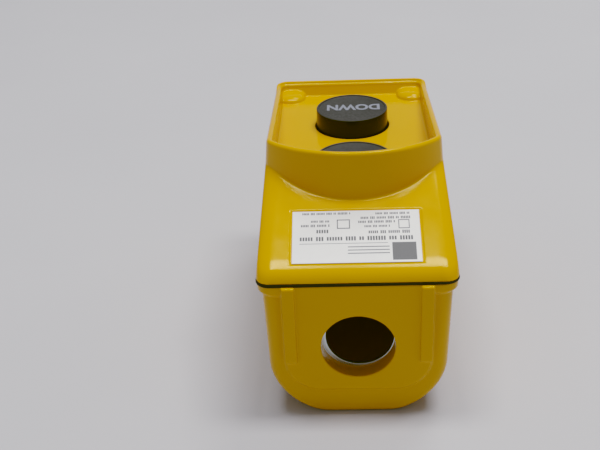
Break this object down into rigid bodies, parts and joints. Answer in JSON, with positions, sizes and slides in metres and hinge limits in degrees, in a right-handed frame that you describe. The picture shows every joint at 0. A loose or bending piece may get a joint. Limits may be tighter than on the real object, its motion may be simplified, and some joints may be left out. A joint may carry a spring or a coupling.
{
  "type": "pendant control station",
  "caption": "Hand-held hoist pendant: yellow moulded enclosure with a raised guard round its push buttons, a cable entry in one end, and contact blocks inside.",
  "frame": {"origin": "middle of the box's underside: the flat rear face the station lies on, halfway along and across", "axes": "+Z out of the button face, -Y towards the cable entry, +X to the right as seen from above with the entry nearest"},
  "size_m": [0.08, 0.1574, 0.1065],
  "materials": {
    "yellow_plastic": "smooth glossy moulded ABS, safety yellow",
    "gasket_rubber": "matt black rubber",
    "zinc_steel": "bright zinc plated sheet steel",
    "label_film": "white satin label film",
    "cap_plastic": "black moulded plastic, fine matt texture on top",
    "acetal": "natural white acetal",
    "steel": "zinc plated steel",
    "brass": "machined brass",
    "boot_rubber": "soft black rubber",
    "block_plastic": "dark green thermoset",
    "carrier_plastic": "dark grey glass-filled plastic"
  },
  "bodies": {
    "station": {"rear_housing": "yellow_plastic", "front_cover": "yellow_plastic", "cover_gasket": "gasket_rubber", "entry_plate": "zinc_steel", "rating_label": "label_film", "contact_carrier": "carrier_plastic", "cover_screw_1": "steel", "cover_screw_2": "steel", "cover_screw_3": "steel", "cover_screw_4": "steel", "threaded_insert_1": "brass", "threaded_insert_2": "brass", "threaded_insert_3": "brass", "threaded_insert_4": "brass", "carrier_screw_1": "steel", "carrier_screw_2": "steel", "carrier_screw_3": "steel", "carrier_screw_4": "steel", "up_guide_bush": "acetal", "up_contact_block": "block_plastic", "up_block_screw_1": "steel", "up_block_screw_2": "steel", "up_fixed_contact_1": "brass", "up_fixed_contact_2": "brass", "up_terminal_screw_1": "steel", "up_terminal_screw_2": "steel", "up_return_spring": "steel", "up_button_boot": "boot_rubber", "up_contact_spring": "steel", "down_guide_bush": "acetal", "down_contact_block": "block_plastic", "down_block_screw_1": "steel", "down_block_screw_2": "steel", "down_fixed_contact_1": "brass", "down_fixed_contact_2": "brass", "down_terminal_screw_1": "steel", "down_terminal_screw_2": "steel", "down_return_spring": "steel", "down_button_boot": "boot_rubber", "down_contact_spring": "steel"},
    "up_button": {"up_button_cap": "cap_plastic", "up_button_stem": "acetal", "up_stem_clip": "steel", "up_contact_plunger": "acetal"},
    "up_bridge": {"up_contact_bridge": "brass"},
    "down_button": {"down_button_cap": "cap_plastic", "down_button_stem": "acetal", "down_stem_clip": "steel", "down_contact_plunger": "acetal"},
    "down_bridge": {"down_contact_bridge": "brass"}
  },
  "joints": [
    {"name": "up_press", "type": "slide", "parent": "station", "child": "up_button", "axis": [0, 0, -1], "range_m": [0, 0.005], "stiffness_N_per_m": 900, "springref_m": -0.003, "deforming": ["up_return_spring", "up_button_boot"]},
    {"name": "up_contact", "type": "slide", "parent": "station", "child": "up_bridge", "axis": [0, 0, -1], "range_m": [0, 0.003], "deforming": ["up_contact_spring"]},
    {"name": "down_press", "type": "slide", "parent": "station", "child": "down_button", "axis": [0, 0, -1], "range_m": [0, 0.005], "stiffness_N_per_m": 900, "springref_m": -0.003, "deforming": ["down_return_spring", "down_button_boot"]},
    {"name": "down_contact", "type": "slide", "parent": "station", "child": "down_bridge", "axis": [0, 0, -1], "range_m": [0, 0.003], "deforming": ["down_contact_spring"]}
  ],
  "couplings": [
    {"joint": "up_contact", "follows": "up_press", "ratio": 0.6},
    {"joint": "down_contact", "follows": "down_press", "ratio": 0.6}
  ]
}
